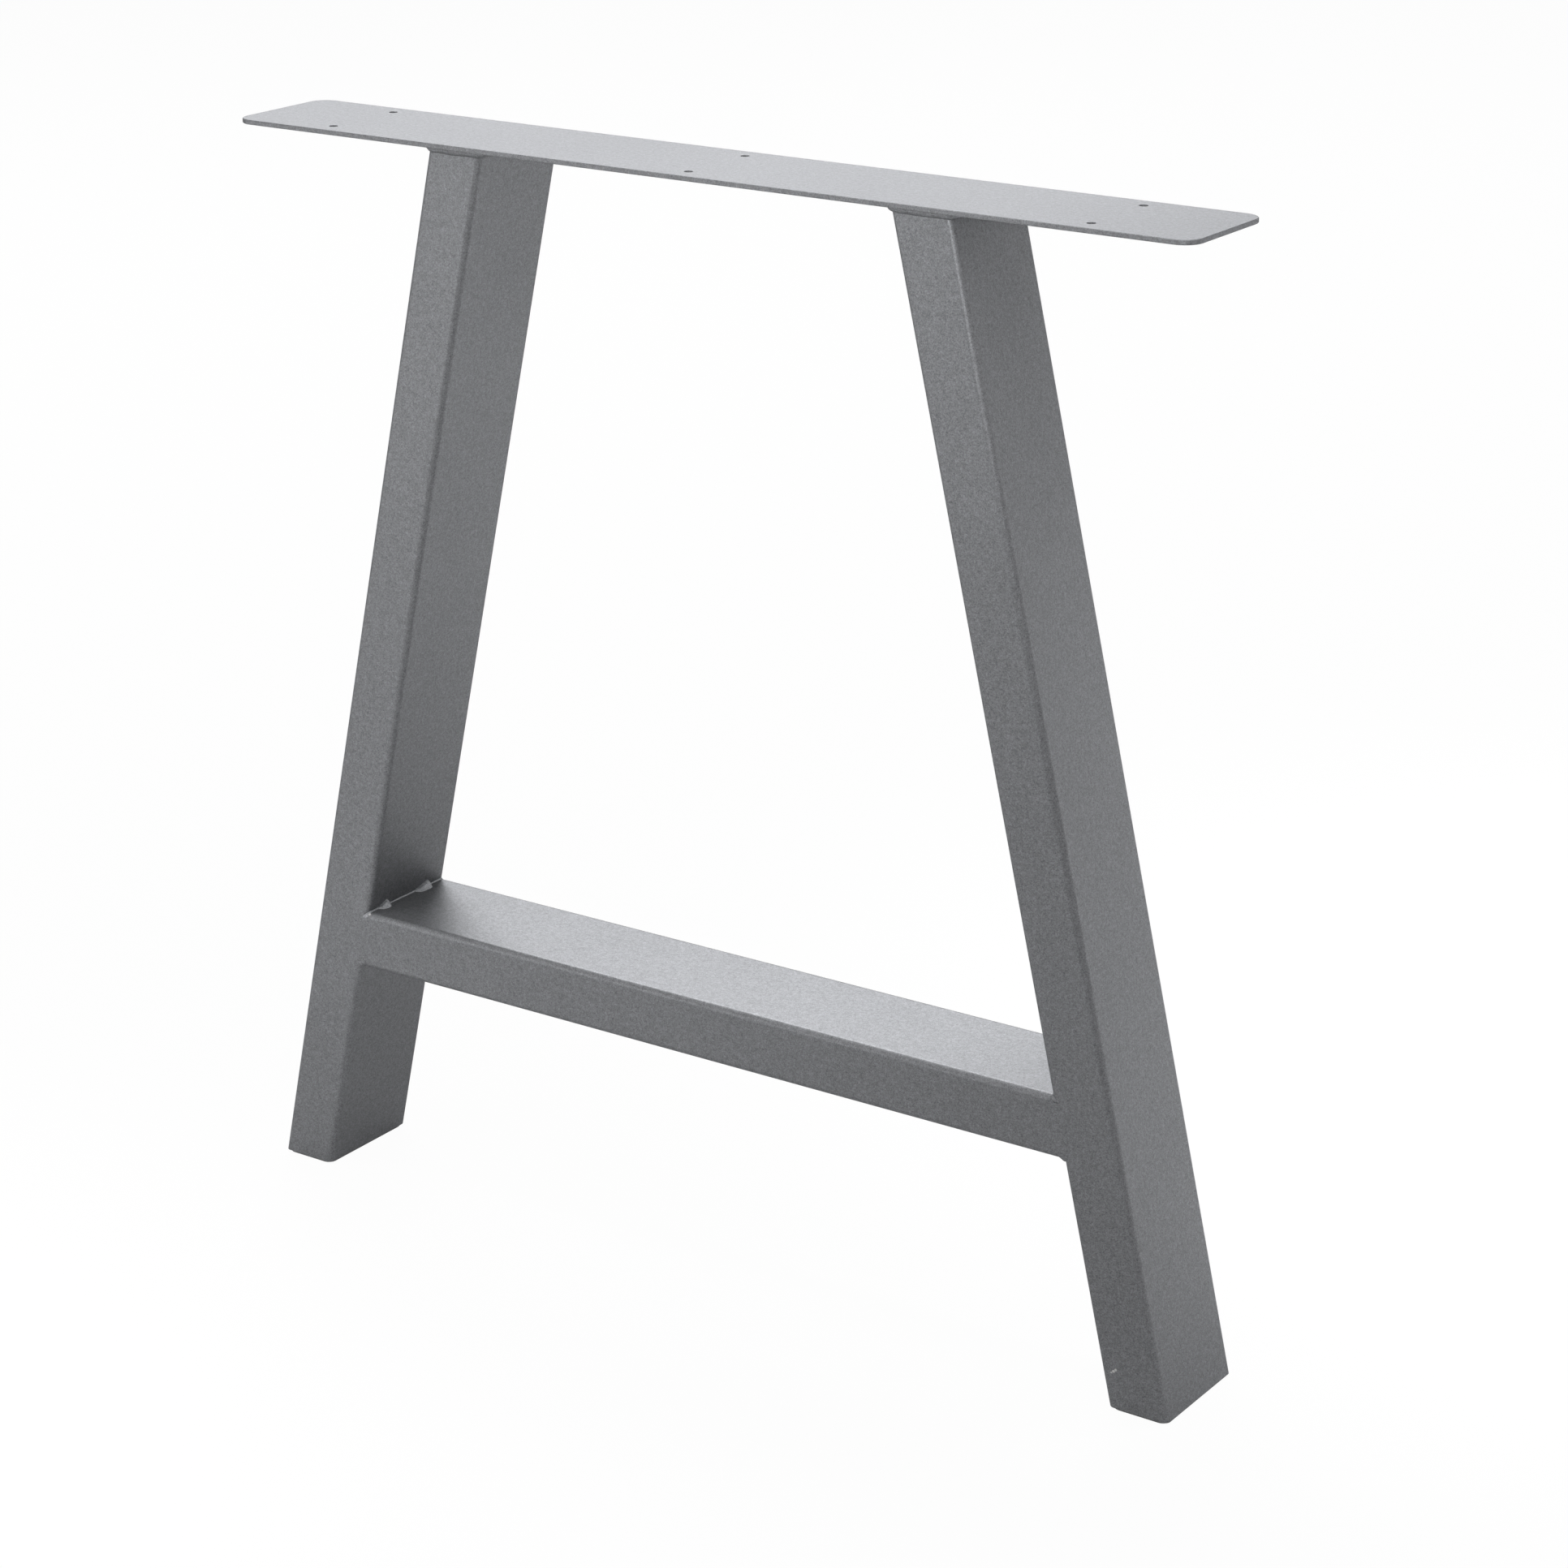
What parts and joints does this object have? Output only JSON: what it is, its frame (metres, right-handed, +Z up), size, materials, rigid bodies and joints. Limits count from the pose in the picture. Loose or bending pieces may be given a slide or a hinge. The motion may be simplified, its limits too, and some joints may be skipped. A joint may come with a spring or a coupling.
{
  "type": "trestle table leg",
  "caption": "A-shaped welded table leg of rectangular steel tube, with a crossbar and a drilled flat top plate.",
  "frame": {"origin": "on the floor, midway between the two feet and midway through the depth", "axes": "+Z up, +X along the top plate from the left foot to the right foot as seen from the front, +Y to the back"},
  "size_m": [0.7, 0.084, 0.72],
  "materials": {
    "powder_coat": "fine textured grey metallic powder coat",
    "coated_weld": "powder coated weld bead",
    "foot_plastic": "matt moulded"
  },
  "bodies": {
    "root": {"top_plate": "powder_coat", "crossbar_tube": "powder_coat", "left_leg_tube": "powder_coat", "right_leg_tube": "powder_coat", "left_foot_plug": "foot_plastic", "right_foot_plug": "foot_plastic", "left_plate_weld": "coated_weld", "right_plate_weld": "coated_weld", "left_crossbar_top_weld": "coated_weld", "right_crossbar_top_weld": "coated_weld", "left_crossbar_under_weld": "coated_weld", "right_crossbar_under_weld": "coated_weld", "left_crossbar_front_weld": "coated_weld", "left_crossbar_back_weld": "coated_weld", "right_crossbar_front_weld": "coated_weld", "right_crossbar_back_weld": "coated_weld"}
  },
  "joints": []
}
